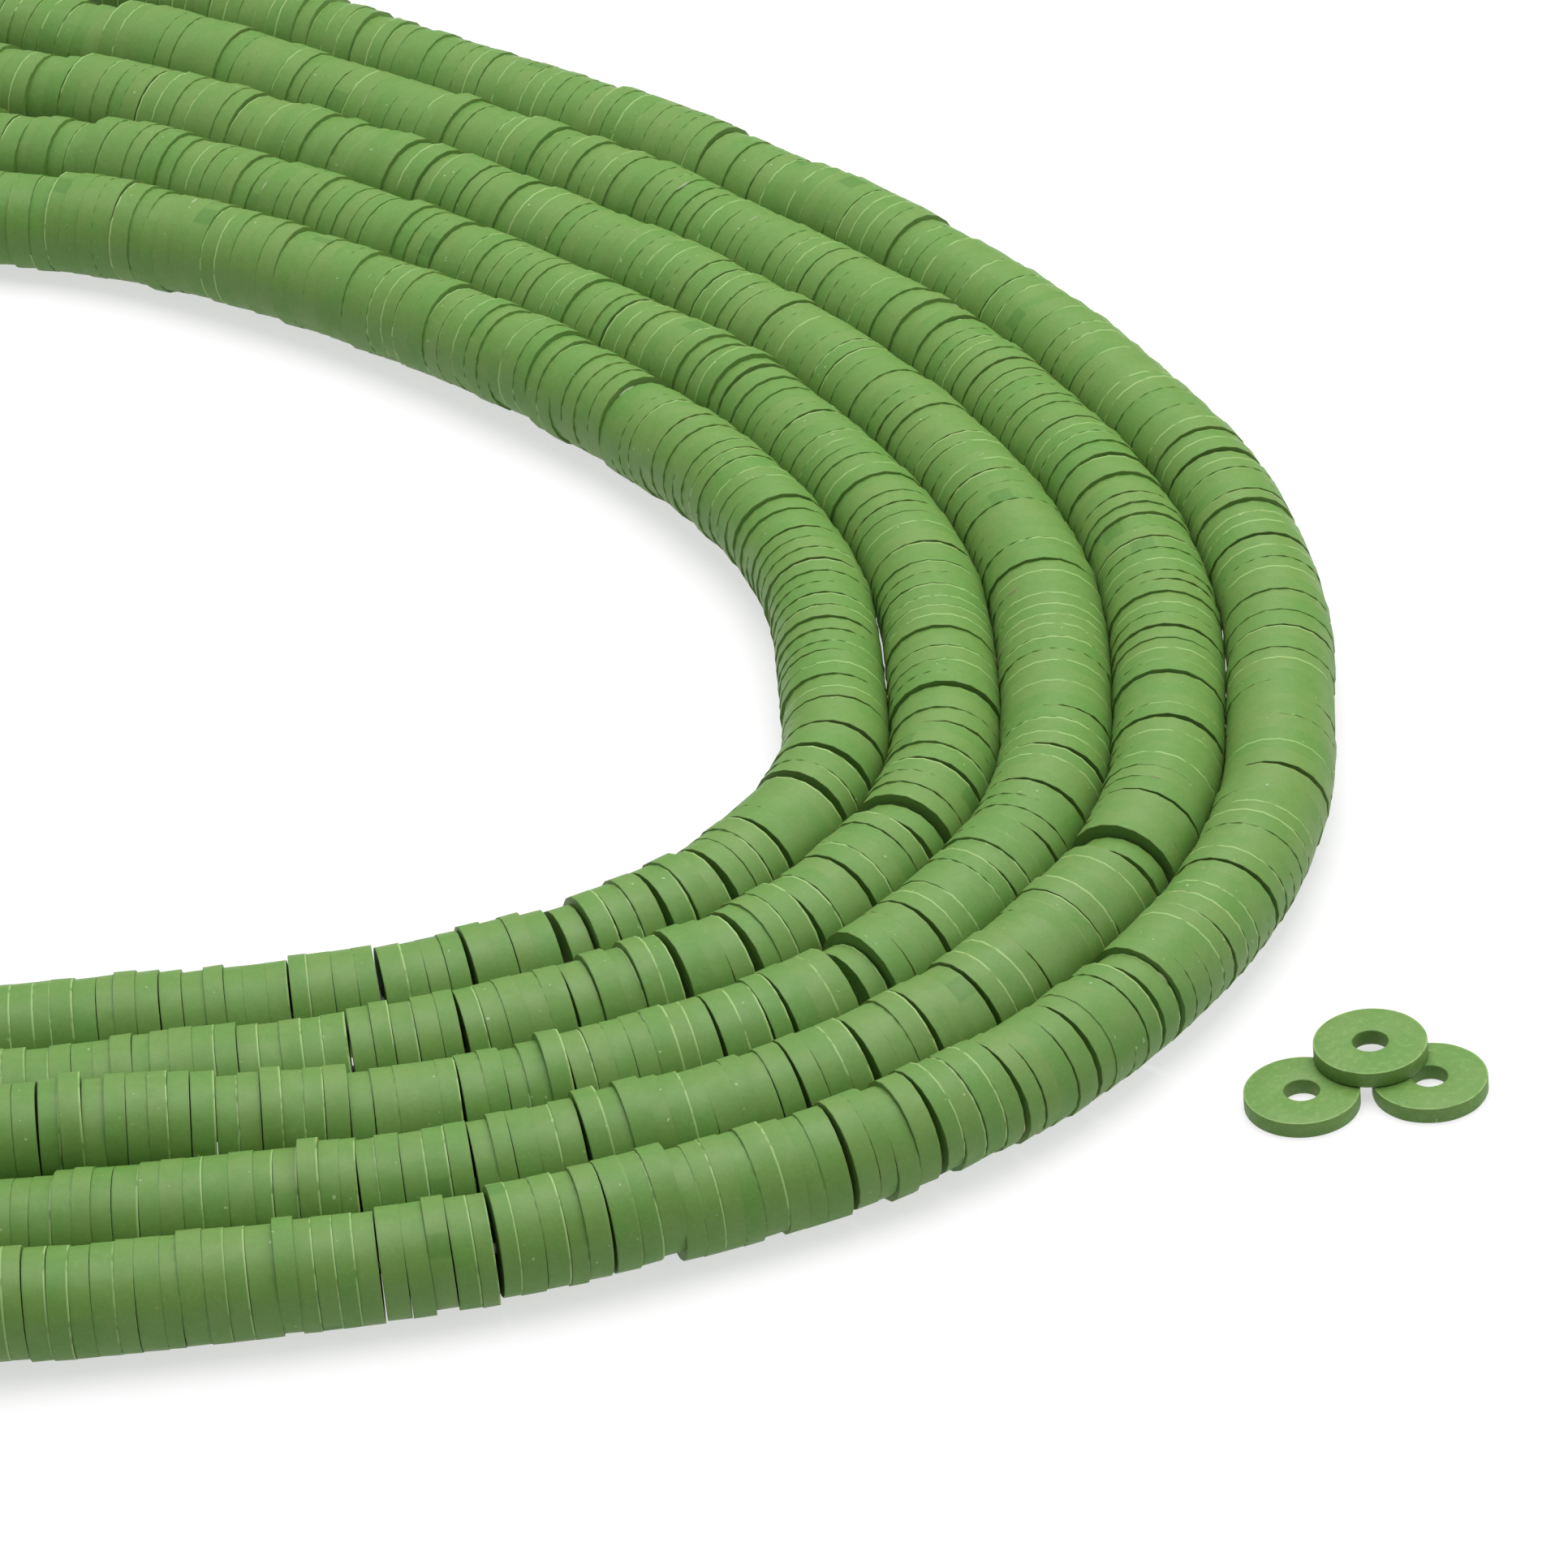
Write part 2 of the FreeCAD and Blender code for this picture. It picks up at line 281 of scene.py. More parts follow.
def clay(name, line_width, line_share, powder):
    """Clay; LINE_SHARE of the discs get a painted highlight LINE_WIDTH of a disc wide along one
    rim, and every disc painted seam shade along the other; POWDER is its dust.
    """
    material, shade, surface = new_material(name)
    place = shade.make("ShaderNodeTexCoord", output="Object")
    tint = shade.make("ShaderNodeAttribute", {"attribute_name": "tint"}, output="Fac")
    burr = shade.make("ShaderNodeAttribute", {"attribute_name": "burr"}, output="Fac")
    rim = shade.make("ShaderNodeUVMap", {"uv_map": "rim"})
    around = shade.make("ShaderNodeSeparateXYZ", {}, {0: rim}, 0)
    across = shade.make("ShaderNodeSeparateXYZ", {}, {0: rim}, 1)
    own = shade.make("ShaderNodeVectorMath", {"operation": "ADD"}, {0: place, 1: tint})

    clouds = shade.noise(own, CLOUD_CELLS, 3.0, 0.6).smooth(0.34, 0.68)
    grain = shade.noise(own, GRAIN_CELLS, 3.0, 0.65)
    broken = shade.noise(own, LINE_BREAK_CELLS, 4.0).smooth(0.34, 0.50)
    crumbs = shade.noise(own, CRUMB_CELLS, 1.0).smooth(0.775, 0.80)
    lined = (tint * 7.31).fraction().smooth(1.0 - line_share, 1.08 - line_share)
    smudged = (tint * 13.7).fraction().smooth(SMUDGED_FROM, SMUDGED_FROM + 0.01)
    smudge_place = (tint * 29.3).fraction() - 0.5
    smudge = (around - smudge_place).size().smooth(SMUDGE_HALF, SMUDGE_HALF - 0.010) * smudged

    green = (clouds * 0.55 + tint * 0.55 - 0.10).blend(OLIVE, FRESH)
    green = ((grain - 0.5) * 0.25 + 0.04).blend(green, PALE)
    green = (smudge * 0.50).blend(green, SMUDGE)
    # Painted highlight: a pale line along one rim of some discs, where the sharp rim would catch
    # the light.
    painted_rim_highlight = (1.0 - across).smooth(line_width, line_width * 0.35) * broken * lined
    # Painted shade: a dark line along the other edge of the wall, in the seam between discs.
    painted_seam_shade = across.smooth(line_width * 0.6, 0.0)
    green = (painted_seam_shade * 0.50).blend(green, SHADOW_GREEN)
    green = (painted_rim_highlight * 0.85).blend(green, PALE)
    dust = shade.noise(own, DUST_CELLS, 6.0, 0.75).smooth(0.47, 0.66)
    green = (dust * powder).blend(green, PALE)
    green = (crumbs * 0.45).blend(green, CRUMB)
    green = (burr * 0.75).blend(green, CRUMB)
    plug(surface, "Base Color", green)
    plug(surface, "Roughness", clouds * 0.10 + grain * 0.20 + 0.38)

    height = grain * 0.35 + clouds * 0.5 + painted_rim_highlight * 0.4
    bump = shade.make("ShaderNodeBump", {}, {"Strength": 0.22, "Distance": BUMP_DEPTH,
                                             "Height": height})
    plug(surface, "Normal", bump)
    surface.inputs["Specular IOR Level"].default_value = 0.30
    surface.inputs["Subsurface Weight"].default_value = 0.15
    surface.inputs["Subsurface Scale"].default_value = GLOW_DEPTH
    return material


bead_clay = clay("leaf_green_clay", 0.11, 0.45, 0.06)
print("clay nodes", len(bead_clay.node_tree.nodes))

# %% [markdown]
# ## Where the stacks of discs lie
#
# In the frame a strand is a row of short straight stacks, each a closed solid. Their corners say
# everything that is needed: corners that share a triangle belong to one stack. Giving every corner
# the lowest number in its triangle, again and again, leaves one number on each stack.

# %% Stacks of a node
STRANDS = ("inner", "second", "middle", "fourth", "outer")
STRETCHES = ("front_end", "front_arm", "front_bend", "turn", "back_bend", "back_arm", "back_end")


def stack_corners(node):
    """The corners of each separate solid of a node, as arrays in metres."""
    mesh = frame["nodes"][node].data
    places = np.empty(len(mesh.vertices) * 3)
    mesh.vertices.foreach_get("co", places)
    grid = np.round(places.reshape(-1, 3) * 1e7).astype(np.int64)
    corners, index = np.unique(grid, axis=0, return_inverse=True)
    used = np.empty(len(mesh.loops), np.int64)
    mesh.loops.foreach_get("vertex_index", used)
    triangles = index.ravel()[used].reshape(-1, 3)
    label = np.arange(len(corners))
    while True:
        lowest = label.copy()
        np.minimum.at(lowest, triangles.ravel(), np.repeat(label[triangles].min(axis=1), 3))
        lowest = lowest[lowest]
        if (lowest == label).all():
            break
        label = lowest
    return [corners[label == one] / 1e7 for one in np.unique(label)]


def middle_of(corners):
    """The middle of a stack; its box gives it however the corners are spread."""
    return (corners.min(axis=0) + corners.max(axis=0)) / 2


def strand_stacks(name):
    """Every stack of a strand from its front end to its back end, as (node, corners)."""
    loose = []
    for stretch in STRETCHES:
        node = "%s_strand_%s_beads" % (name, stretch)
        loose += [(node, corners) for corners in stack_corners(node)]
    node = "%s_strand_spinner_disc" % name
    loose += [(node, corners) for corners in stack_corners(node)]
    chain = [loose.pop(0)]
    while loose:
        here = middle_of(chain[-1][1])
        nearest = min(range(len(loose)),
                      key=lambda i: np.linalg.norm(middle_of(loose[i][1]) - here))
        chain.append(loose.pop(nearest))
    return chain


stacks = {name: strand_stacks(name) for name in STRANDS}
print("stacks", {name: len(chain) for name, chain in stacks.items()})

# %% [markdown]
# ## A smooth line through the stacks
#
# The real discs fan out round the turn. A smooth line through the stacks' middles tells a disc
# where it would sit on a perfect curve. A Catmull-Rom line does that: it passes through every
# point, and its direction at a point is set by the two neighbours.

# %% Line through the middles


class Line:
    """A smooth line through points, asked by the length travelled along it."""

    def __init__(self, points):
        self.points = [Vector(p) for p in points]
        self.marks = [0.0]
        for a, b in zip(self.points, self.points[1:]):
            self.marks.append(self.marks[-1] + (b - a).length)

    def slope(self, i):
        before = max(i - 1, 0)
        after = min(i + 1, len(self.points) - 1)
        return (self.points[after] - self.points[before]) / (self.marks[after] - self.marks[before])

    def at(self, distance):
        """The place and the direction at DISTANCE; past the ends the line runs on straight."""
        last = len(self.marks) - 2
        i = int(np.searchsorted(self.marks, distance)) - 1
        i = min(max(i, 0), last)
        span = self.marks[i + 1] - self.marks[i]
        t = (distance - self.marks[i]) / span
        a, b = self.points[i], self.points[i + 1]
        if t < 0 or t > 1:
            end = a if t < 0 else b
            way = self.slope(i if t < 0 else i + 1).normalized()
            return end + way * ((t if t < 0 else t - 1) * span), way
        u, v = self.slope(i) * span, self.slope(i + 1) * span
        place = (a * (2 * t**3 - 3 * t**2 + 1) + u * (t**3 - 2 * t**2 + t)
                 + b * (3 * t**2 - 2 * t**3) + v * (t**3 - t**2))
        way = (a * (6 * t**2 - 6 * t) + u * (3 * t**2 - 4 * t + 1)
               + b * (6 * t - 6 * t**2) + v * (3 * t**2 - 2 * t))
        return place, way.normalized()


lines = {name: Line([middle_of(corners) for _, corners in chain])
         for name, chain in stacks.items()}
print("lengths", {name: round(line.marks[-1], 4) for name, line in lines.items()})

# %% [markdown]
# ## One plain disc
#
# A disc is a rectangle turned about the hole's axis. Four corners and a full spin make it, and 20
# steps are plenty for something six millimetres across that is copied nearly 1600 times. The rims
# stay sharp, because a slicing blade leaves them sharp, and the round walls shade smoothly. The map
# called rim runs from 0 to 1 across the outer wall. On the flat faces it is 0.5 everywhere but at
# the outer rim, so only that rim shows the painted highlight line, and only the wall's other edge
# shows the painted seam shade.

# %% Disc pattern
RADIUS = 3.0 * MM
HOLE = 1.0 * MM
DISC_STEPS = 20
FLAT_RIM = 0.97
SAME_CORNER = 1e-7


def turn_section(shape, corners, steps):
    """Spins a closed section of (radius, height) corners all the way about Z."""
    verts = [shape.verts.new((r, 0, z)) for r, z in corners]
    edges = [shape.edges.new((a, b)) for a, b in zip(verts, verts[1:] + verts[:1])]
    bmesh.ops.spin(shape, geom=verts + edges, cent=(0, 0, 0), axis=(0, 0, 1),
                   angle=2 * math.pi, steps=steps, use_merge=True)
    bmesh.ops.remove_doubles(shape, verts=shape.verts, dist=SAME_CORNER)
    bmesh.ops.recalc_face_normals(shape, faces=shape.faces)


def turn_of(place):
    return math.atan2(place.y, place.x) / (2 * math.pi)


def mark_rims(shape, sharp_angle=0.9):
    """Smooth walls with sharp rims, and the map that measures across the outer wall."""
    rim = shape.loops.layers.uv.new("rim")
    for edge in shape.edges:
        edge.smooth = edge.calc_face_angle(0) < sharp_angle
    low = min(v.co.z for v in shape.verts)
    high = max(v.co.z for v in shape.verts)
    widest = max(v.co.to_2d().length for v in shape.verts)
    for face in shape.faces:
        face.smooth = True
        upright = abs(face.normal.z) < math.cos(math.pi / 4)
        outside = face.calc_center_median().to_2d().length > widest * 0.85
        face_turn = turn_of(face.calc_center_median())
        for loop in face.loops:
            place = loop.vert.co
            turn = face_turn + (turn_of(place) - face_turn + 0.5) % 1 - 0.5
            across = 0.5
            if upright and outside:
                across = (place.z - low) / (high - low)
            elif not upright and place.to_2d().length > widest * FLAT_RIM:
                across = FLAT_RIM if face.normal.z > 0 else 0.5
            loop[rim].uv = (turn, across)


def disc_pattern():
    """A disc one unit thick, standing on its middle, with its real radius and hole."""
    shape = bmesh.new()
    turn_section(shape, ((HOLE, -0.5), (RADIUS, -0.5), (RADIUS, 0.5), (HOLE, 0.5)), DISC_STEPS)
    mark_rims(shape)
    mesh = bpy.data.meshes.new("disc_pattern")
    shape.to_mesh(mesh)
    shape.free()
    return mesh


pattern = disc_pattern()
print("disc faces", len(pattern.polygons))

# %% [markdown]
# ## A row of discs that aren't quite alike
#
# The discs of a stack share its length unevenly, because slices differ in thickness. Each leans a
# little, and its neighbours lean with it, since flat faces press together; the lean drifts from
# stack to stack, which opens the dark wedges between them. The hole is far wider than the cord, so
# a disc can ride a few tenths of a millimetre high or to one side, as far as the next strand lets
# it. None goes through the table.
#
# Real strands press against each other in the turn, where the frame leaves a narrow gap. So the
# air is measured on each side of a stack. Where it is narrow, the discs are made wider and moved
# over until they fill half of it; where it is wide, they are left alone. A seam narrower than zero
# lets two discs overlap by a hair, and each stack is drawn a little long, so that no light shows
# between them. The end stacks and the spinner are neither widened nor moved over, because they
# have to move freely.

# %% Row of discs
PITCH = 1.16 * MM
SHARES = (0.80, 1.20)
THINNEST = 0.3 * MM
SEAMS = (-0.05 * MM, -0.03 * MM, -0.01 * MM, 0.01 * MM, 0.03 * MM)
JOLTS = (0.05 * MM, 0.09 * MM, 0.15 * MM, 0.30 * MM)
SIDE_PLAY = 0.30 * MM
SIDE_STEP = 0.25 * MM
LIFT_PLAY = 0.50 * MM
LIFT_STEP = 0.42 * MM
SHIFT_CHANCE = 0.36
LEAN_STEP = 0.028
LEAN_NOISE = 0.006
LEAN_SIDE = {"front_arm": (0.0, 0.12), "else": (-0.09, 0.07)}
LEAN_UP = {"front_bend": (0.02, 0.16), "turn": (-0.03, 0.08), "else": (-0.05, 0.05)}
FILLERS = (0.14 * MM, 0.17 * MM, 0.20 * MM)
FREE_EXTRA = 0.08 * MM
USUAL_SIZE = 1.012
SIZE_NOISE = (-0.002, 0.009)
SIZE_LIMITS = (-0.02, 0.01)
FATTEST = 0.12
STRAY = 0.08 * MM
TOUCHING = 0.90 * MM
APART = 1.30 * MM
SAMPLE_STEP = 0.3
samples = {}
for name, line in lines.items():
    marks = np.arange(0, line.marks[-1] / MM, SAMPLE_STEP) * MM
    samples[name] = np.array([line.at(mark)[0] for mark in marks])


def frame_of(way):
    """Sideways and upwards directions square to WAY."""
    side = way.cross(UP).normalized()
    return side, side.cross(way).normalized()


def stack_length(corners, way):
    along = corners @ np.array(way)
    return float(along.max() - along.min())


def side_gaps(name, place, side):
    """The air between a disc at PLACE and the next strand, against SIDE and along it."""
    gaps = [APART, APART]
    for other, points in samples.items():
        away = points - np.array(place)
        reach = np.linalg.norm(away, axis=1)
        nearest = int(reach.argmin())
        which = 1 if float(away[nearest] @ np.array(side)) > 0 else 0
        if other != name:
            gaps[which] = min(gaps[which], float(reach[nearest]) - 2 * RADIUS)
    return [max(gap, 0.0) for gap in gaps]


def share_of(gap):
    """How far a disc reaches into a gap: half of a narrow one and nothing of a wide one."""
    return gap / 2 * min(max((APART - gap) / (APART - TOUCHING), 0.0), 1.0)


def uneven_shares(chance, count):
    parts = [chance.uniform(*SHARES) for _ in range(count)]
    return [part / sum(parts) for part in parts]


class Drift:
    """A number that wanders from stack to stack within limits."""

    def __init__(self, chance, step, low, high):
        self.chance, self.step = chance, step
        self.value = chance.uniform(low, high)

    def next(self, low, high):
        self.value += self.chance.uniform(-self.step, self.step)
        self.value = min(max(self.value, low), high)
        return self.value


def limits(table, node):
    """The entry of TABLE whose stretch the node is in, or the one for everywhere else."""
    return next((pair for stretch, pair in table.items() if stretch in node), table["else"])


def room_beside(name, centre, way, play):
    """How much wider a stack's discs are made, how far they move over, and what room is left."""
    gaps = side_gaps(name, centre, frame_of(way)[0])
    reach = [share_of(gap) for gap in gaps]
    fat = min(sum(reach) / 2 / RADIUS, FATTEST) * play
    shift = (reach[1] - reach[0]) / 2 * play
    room = [gap / 2 - used for gap, used in zip(gaps, reach)]
    return fat, shift, [min(side, max(min(room), STRAY)) for side in room]


def disc_placements(name):
    """Every disc of a strand as (node, place, facing, thickness, scale, tint)."""
    chance = random.Random("beads of the %s strand" % name)
    line = lines[name]
    lean_side = Drift(chance, LEAN_STEP, *LEAN_SIDE["front_arm"])
    lean_up = Drift(chance, LEAN_STEP, *LEAN_UP["else"])
    ride_up = Drift(chance, LIFT_STEP, 0.0, LIFT_PLAY)
    ride_side = Drift(chance, SIDE_STEP, -SIDE_PLAY, SIDE_PLAY)
    discs = []
    for (node, corners), mark in zip(stacks[name], line.marks):
        way = line.at(mark)[1]
        length = stack_length(corners, way)
        count = max(1, round(length / PITCH))
        spinner = node.endswith("spinner_disc")
        play = 0.0 if spinner or "_end_" in node else 1.0
        fat, shift, room = room_beside(name, middle_of(corners), way, play)
        lean = (lean_side.next(*limits(LEAN_SIDE, node)) * play,
                lean_up.next(*limits(LEAN_UP, node)) * play)
        ride = (ride_side.next(-SIDE_PLAY, SIDE_PLAY) * play, ride_up.next(0.0, LIFT_PLAY) * play)
        length += FREE_EXTRA if spinner else chance.choice(FILLERS) * play
        at = -length / 2
        for share in uneven_shares(chance, count):
            thick = length * share
            middle = at + thick / 2
            at += thick
            if chance.random() < SHIFT_CHANCE:
                ride = (ride_side.next(-SIDE_PLAY, SIDE_PLAY) * play,
                        ride_up.next(0.0, LIFT_PLAY) * play)
            place, curve_way = line.at(mark + middle)
            facing = (way + curve_way * 2).normalized()
            side, up = frame_of(facing)
            jolt = chance.choice(JOLTS) * play
            aside = ride[0] + chance.uniform(-jolt, jolt)
            place = place + side * (shift + min(max(aside, -room[0]), room[1]))
            place = place + up * (ride[1] + chance.uniform(-jolt, jolt))
            facing = (facing + side * (lean[0] + chance.gauss(0, LEAN_NOISE) * play)
                      + up * (lean[1] + chance.gauss(0, LEAN_NOISE) * play)).normalized()
            own_size = max(SIZE_LIMITS[0], min(SIZE_LIMITS[1], chance.gauss(*SIZE_NOISE)))
            scale = USUAL_SIZE + fat + own_size
            thick -= chance.choice(SEAMS)
            discs.append((node, place, facing, max(thick, THINNEST), scale, chance.random()))
    return discs


placements = {name: disc_placements(name) for name in STRANDS}
print("discs", {name: len(discs) for name, discs in placements.items()})

# %% [markdown]
# ## Burrs
#
# Here and there the blade has dragged out a curl of clay that clings to a rim. A burr is a short
# arc of a tiny triangular section, thinned towards both ends. It belongs to its disc, so it is
# added to the same mesh, and a number called burr paints it pale.

# %% Burr
BURR_CHANCE = 0.12
BURR_REACH = (0.12, 0.42)
BURR_FAT = (0.030, 0.075)
BURR_STEPS = 6
BURR_TIP = 0.08


def add_burr(shape, chance, thick):
    """A thin crescent of clay on one rim of the unit disc; returns its new corners and faces."""
    old = set(shape.verts)
    reach = chance.uniform(*BURR_REACH)
    fat = chance.uniform(*BURR_FAT) * MM
    start = chance.uniform(0, 2 * math.pi)
    edge = thick / 2 * chance.choice((-1, 1))
    section = ((RADIUS - fat, edge - fat), (RADIUS + fat, edge), (RADIUS - fat, edge + fat))
    verts = [shape.verts.new((r, 0, z)) for r, z in section]
    face = shape.faces.new(verts)
    bmesh.ops.spin(shape, geom=[face], cent=(0, 0, 0), axis=(0, 0, 1), angle=reach,
                   steps=BURR_STEPS)
    added = [v for v in shape.verts if v not in old]
    for vert in added:
        along = math.atan2(vert.co.y, vert.co.x) / reach
        thin = max(BURR_TIP, math.sin(math.pi * min(max(along, 0), 1)))
        middle = Vector((RADIUS * math.cos(along * reach), RADIUS * math.sin(along * reach), edge))
        vert.co = middle + (vert.co - middle) * thin
        vert.co.z /= thick
    bmesh.ops.rotate(shape, verts=added, cent=(0, 0, 0), matrix=Matrix.Rotation(start, 3, "Z"))
    faces = list({f for v in added for f in v.link_faces})
    bmesh.ops.recalc_face_normals(shape, faces=faces)
    return added, faces


print("burrs on about", round(100 * BURR_CHANCE), "discs in a hundred")

# %% [markdown]
# ## Bead groups
#
# One object stands for each node of the frame. Every disc is a copy of the pattern, stretched to
# its thickness, nudged out of round and set in place with one matrix.

# %% Groups of discs
OUT_OF_ROUND = 0.003


def disc_matrix(place, facing, thick, scale, turn):
    side, up = frame_of(facing)
    axes = Matrix((side, up, facing)).transposed().to_4x4()
    size = Matrix.Diagonal((scale, scale, thick, 1))
    return Matrix.Translation(place) @ axes @ Matrix.Rotation(turn, 4, "Z") @ size


def add_disc(shape, layers, chance, disc):
    _, place, facing, thick, scale, tint = disc
    first_vert, first_face = len(shape.verts), len(shape.faces)
    shape.from_mesh(pattern)
    shape.verts.ensure_lookup_table()
    shape.faces.ensure_lookup_table()
    verts = list(shape.verts[first_vert:])
    faces = list(shape.faces[first_face:])
    for vert in verts:
        vert.co.xy *= 1 + chance.gauss(0, OUT_OF_ROUND)
    burr_faces = []
    if chance.random() < BURR_CHANCE:
        more, burr_faces = add_burr(shape, chance, thick)
        verts += more
        faces += burr_faces
    matrix = disc_matrix(place, facing, thick, scale, chance.uniform(0, 2 * math.pi))
    bmesh.ops.transform(shape, matrix=matrix, verts=verts)
    lowest = min(vert.co.z for vert in verts)
    if lowest < 0:
        bmesh.ops.translate(shape, vec=(0, 0, -lowest), verts=verts)
    for face in faces:
        face[layers["tint"]] = tint
        face[layers["burr"]] = 0.0
    for face in burr_faces:
        face[layers["burr"]] = 1.0


def bead_group(node, discs):
    shape = bmesh.new()
    layers = {name: shape.faces.layers.float.new(name) for name in ("tint", "burr")}
    shape.loops.layers.uv.new("rim")
    chance = random.Random("discs of " + node)
    for disc in discs:
        add_disc(shape, layers, chance, disc)
    mesh = bpy.data.meshes.new(node)
    shape.to_mesh(mesh)
    shape.free()
    mesh.materials.append(bead_clay)
    put_in_place(mesh, node.replace("_beads", "_discs"), node)


def put_in_place(mesh, name, node):
    """A piece that stands for a node and moves with its body; the node's own part is hidden."""
    piece = bpy.data.objects.new(name + "_shown", mesh)
    bpy.context.scene.collection.objects.link(piece)
    body = next(b for b, members in frame["record"]["behaviour"]["bodies"].items()
                if node in members)
    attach(piece, body)
    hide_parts(node)
    return piece


for name in STRANDS:
    nodes = sorted({disc[0] for disc in placements[name]})
    for node in nodes:
        bead_group(node, [disc for disc in placements[name] if disc[0] == node])
    print(name, "strand", len(nodes), "groups")

# %% [markdown]
# ## Loose discs
#
# The three loose discs show what the strands hide: the flat face, the hole and the whole rim. They
# are seen close and face on, so they are turned in many steps and their rims get a real bevel.
# The cut wasn't perfect, so the wall waves a little and the hole is slightly out of round.

# %% Loose discs
LOOSE_STEPS = 96
LOOSE_BEVEL = 0.05 * MM
BEVELLED_FROM = 1.2
SHARP_FROM = 1.4
WAVE = 0.010 * MM
WAVE_COUNTS = (2, 3, 5, 7)
LOOSE_TINT = 0.42
TINT_STEP = 0.09


def loose_disc(node, seed):
    low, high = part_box(node)
    centre = (low + high) / 2
    radius = (high.x - low.x) / 2
    half = (high.z - low.z) / 2
    shape = bmesh.new()
    section = ((HOLE, -half), (radius, -half), (radius, half), (HOLE, half))
    turn_section(shape, section, LOOSE_STEPS)
    corners = [e for e in shape.edges if e.calc_face_angle(0) > BEVELLED_FROM]
    bmesh.ops.bevel(shape, geom=corners, offset=LOOSE_BEVEL, affect="EDGES", segments=2,
                    profile=0.5, material=-1)
    chance = random.Random(seed)
    phases = [(chance.choice(WAVE_COUNTS), chance.uniform(0, 6.28)) for _ in range(3)]
    for vert in shape.verts:
        angle = math.atan2(vert.co.y, vert.co.x)
        wave = sum(math.sin(n * angle + p) for n, p in phases) * WAVE
        inner = vert.co.to_2d().length < radius / 2
        vert.co.xy *= 1 + (2.0 if inner else -1.0) * abs(wave) / radius
    layers = {name: shape.faces.layers.float.new(name) for name in ("tint", "burr")}
    mark_rims(shape, SHARP_FROM)
    for face in shape.faces:
        face[layers["tint"]] = LOOSE_TINT + TINT_STEP * seed
    bmesh.ops.translate(shape, vec=centre, verts=shape.verts)
    mesh = bpy.data.meshes.new(node)
    shape.to_mesh(mesh)
    shape.free()
    mesh.materials.append(loose_clay)
    return put_in_place(mesh, node, node)


loose_clay = clay("leaf_green_clay_face", 0.05, 1.0, 0.20)
for seed, node in enumerate(("loose_disc_left", "loose_disc_right", "loose_disc_top")):
    piece = loose_disc(node, seed)
    print(piece.name, len(piece.data.polygons), "faces")

# %% [markdown]
# ## Stringing cord
#
# The cord is waxed thread of three plies, 0.7 mm thick, the usual one for a hole of this size. It
# runs through every hole, and beyond the last disc it is tied in an overhand knot, which is a
# trefoil that was never closed. A polynomial gives that curve, and it is scaled to a tight little
# knot. The tail drops to the table.

# %% Cord
CORD = 0.35 * MM
CORD_SIDES = 8
SLACK = 4.0 * MM
KNOT_REACH = 2.2 * MM
TAIL = 9.0 * MM
KNOT_SIZE = 0.78 * MM
KNOT_STEPS = 28
KNOT_SPAN = 1.95
BARE = 0.3
TAIL_DROPS = ((0.30, 0.5 * MM), (0.62, 1.9 * MM))
TABLE_AIR = 0.02 * MM
CLOSE_RINGS = 0.2 * MM
WIDE_RINGS = 1.5 * MM
RINGS_RUN_IN = 12 * MM


def knot_points(centre, way):
    """An overhand knot about CENTRE, for a cord that travels along WAY."""
    side, up = frame_of(way)
    points = []
    for step in range(KNOT_STEPS + 1):
        t = -KNOT_SPAN + 2 * KNOT_SPAN * step / KNOT_STEPS
        across = (t**3 - 3 * t) / 2
        rise = (t**4 - 4 * t**2 + 2) / 2.6
        along = (t**5 - 10 * t) / 9.5
        points.append(centre + (side * across + up * rise + way * along * 1.15) * KNOT_SIZE)
    return points


def cord_end(last, way):
    """From the last disc's face: bare cord, knot, and a tail down to the table."""
    knot = last + way * (SLACK + KNOT_REACH)
    points = [last + way * SLACK * BARE] + knot_points(knot, way)
    points += [knot + way * TAIL * share - UP * drop for share, drop in TAIL_DROPS]
    tip = knot + way * TAIL
    tip.z = CORD + TABLE_AIR
    return points + [tip]


def cord_line(name):
    line = lines[name]
    first, last = stacks[name][0][1], stacks[name][-1][1]
    start_way, end_way = line.at(0.0)[1], line.at(line.marks[-1])[1]
    start = line.points[0] - start_way * (stack_length(first, start_way) / 2)
    end = line.points[-1] + end_way * (stack_length(last, end_way) / 2)
    front = cord_end(start, -start_way)
    back = cord_end(end, end_way)
    steps = int(line.marks[-1] / WIDE_RINGS)
    middle = [line.at(line.marks[-1] * i / steps)[0] for i in range(steps + 1)]
    return Line(front[::-1] + middle + back)


def ring_marks(line):
    """Close rings round the knots and tails at both ends, and wide ones inside the beads."""
    ends = SLACK + KNOT_REACH + TAIL + RINGS_RUN_IN
    inside = np.arange(ends, line.marks[-1] - ends, WIDE_RINGS)
    front = np.arange(0, ends, CLOSE_RINGS)
    return np.concatenate((front, inside, line.marks[-1] - front[::-1]))


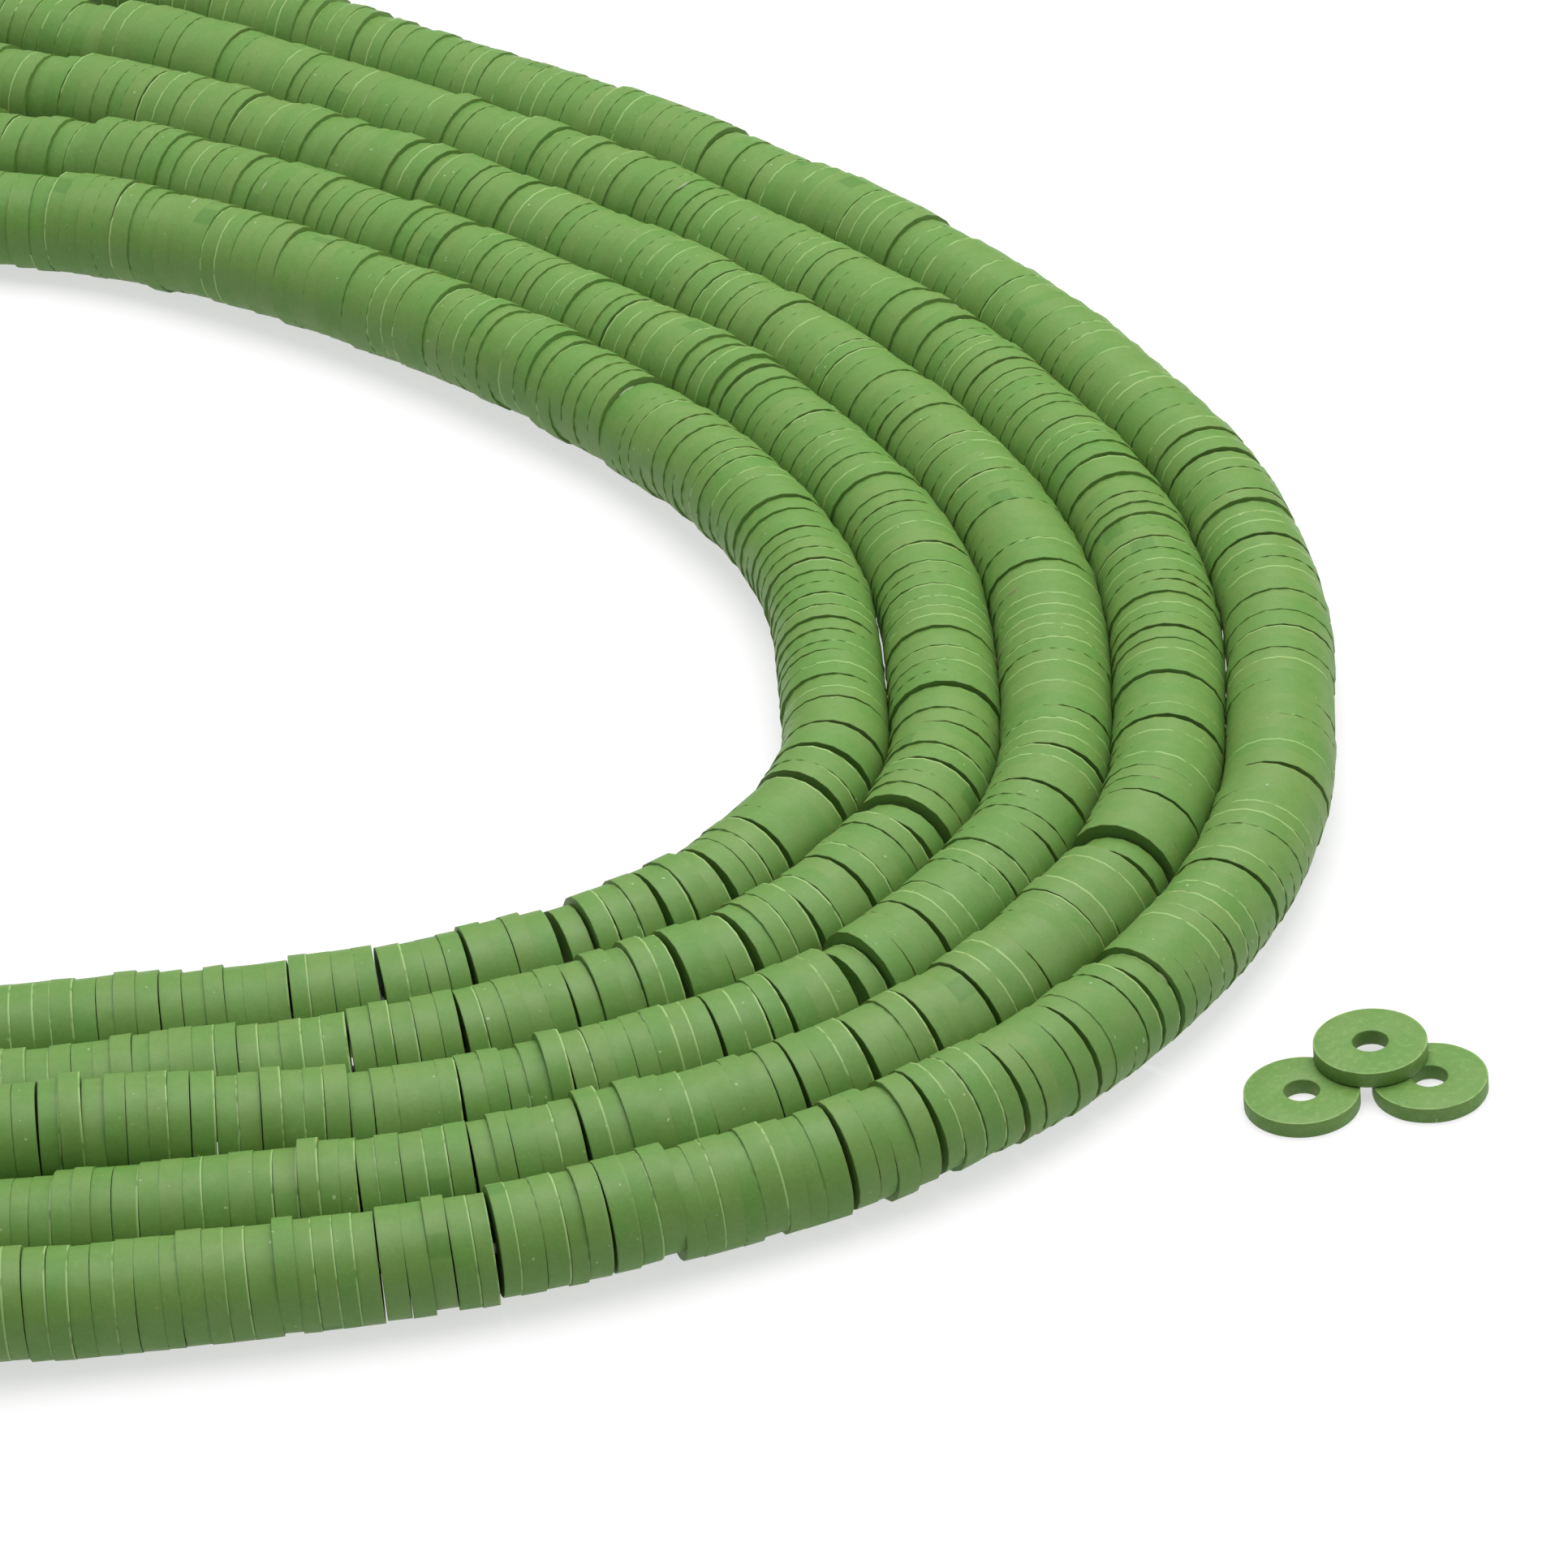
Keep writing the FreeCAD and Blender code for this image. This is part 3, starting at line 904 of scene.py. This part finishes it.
def add_cord(shape, line):
    """A flat sheet of squares is rolled round the line, stitched shut and capped."""
    rim = shape.loops.layers.uv.new("rim")
    marks = ring_marks(line)
    bmesh.ops.create_grid(shape, x_segments=CORD_SIDES, y_segments=len(marks) - 1, size=0.5)
    rows = {}
    for vert in shape.verts:
        rows.setdefault(round((vert.co.y + 0.5) * (len(marks) - 1)), []).append(vert)
    side = frame_of(line.at(0.0)[1])[0]
    for row, verts in sorted(rows.items()):
        place, way = line.at(marks[row])
        side = (side - way * side.dot(way)).normalized()
        lift = way.cross(side)
        for vert in verts:
            angle = (vert.co.x + 0.5) * 2 * math.pi
            for loop in vert.link_loops:
                loop[rim].uv = (vert.co.x + 0.5, marks[row] / MM)
            vert.co = place + (side * math.cos(angle) + lift * math.sin(angle)) * CORD
    bmesh.ops.remove_doubles(shape, verts=shape.verts, dist=SAME_CORNER)
    bmesh.ops.holes_fill(shape, edges=shape.edges, sides=CORD_SIDES)
    for face in shape.faces:
        face.smooth = True
    bmesh.ops.recalc_face_normals(shape, faces=shape.faces)


def thread_material():
    """Waxed thread: three twisted plies with painted shade in the grooves between them, fuzz and
    faint stains.
    """
    material, shade, surface = new_material("waxed_thread")
    place = shade.make("ShaderNodeTexCoord", output="Object")
    fibre = shade.noise(place, 9000, 3.0, 0.7)
    stain = shade.noise(place, 700, 2.0).smooth(0.35, 0.7)
    rim = shade.make("ShaderNodeUVMap", {"uv_map": "rim"})
    around = shade.make("ShaderNodeSeparateXYZ", {}, {0: rim}, 0)
    along = shade.make("ShaderNodeSeparateXYZ", {}, {0: rim}, 1)
    plies = ((around * 3.0 + along * 1.4).fraction() - 0.5).size().smooth(0.5, 0.2)
    colour = stain.blend((0.60, 0.57, 0.48, 1), (0.70, 0.68, 0.60, 1))
    # Painted shade: the grooves between the plies are darkened.
    colour = ((1.0 - plies) * 0.45).blend(colour, (0.30, 0.27, 0.20, 1))
    plug(surface, "Base Color", colour)
    plug(surface, "Roughness", fibre * 0.3 + 0.45)
    bump = shade.make("ShaderNodeBump", {}, {"Strength": 0.6, "Distance": 0.00008,
                                             "Height": plies + fibre * 0.3})
    plug(surface, "Normal", bump)
    return material


thread = thread_material()
for name in STRANDS:
    shape = bmesh.new()
    line = cord_line(name)
    add_cord(shape, line)
    mesh = bpy.data.meshes.new(name + "_cord")
    shape.to_mesh(mesh)
    shape.free()
    mesh.materials.append(thread)
    piece = put_in_place(mesh, name + "_strand_cord", name + "_strand_cord")
    print(piece.name, round(line.marks[-1], 4), "m", len(mesh.polygons), "faces")

# %% [markdown]
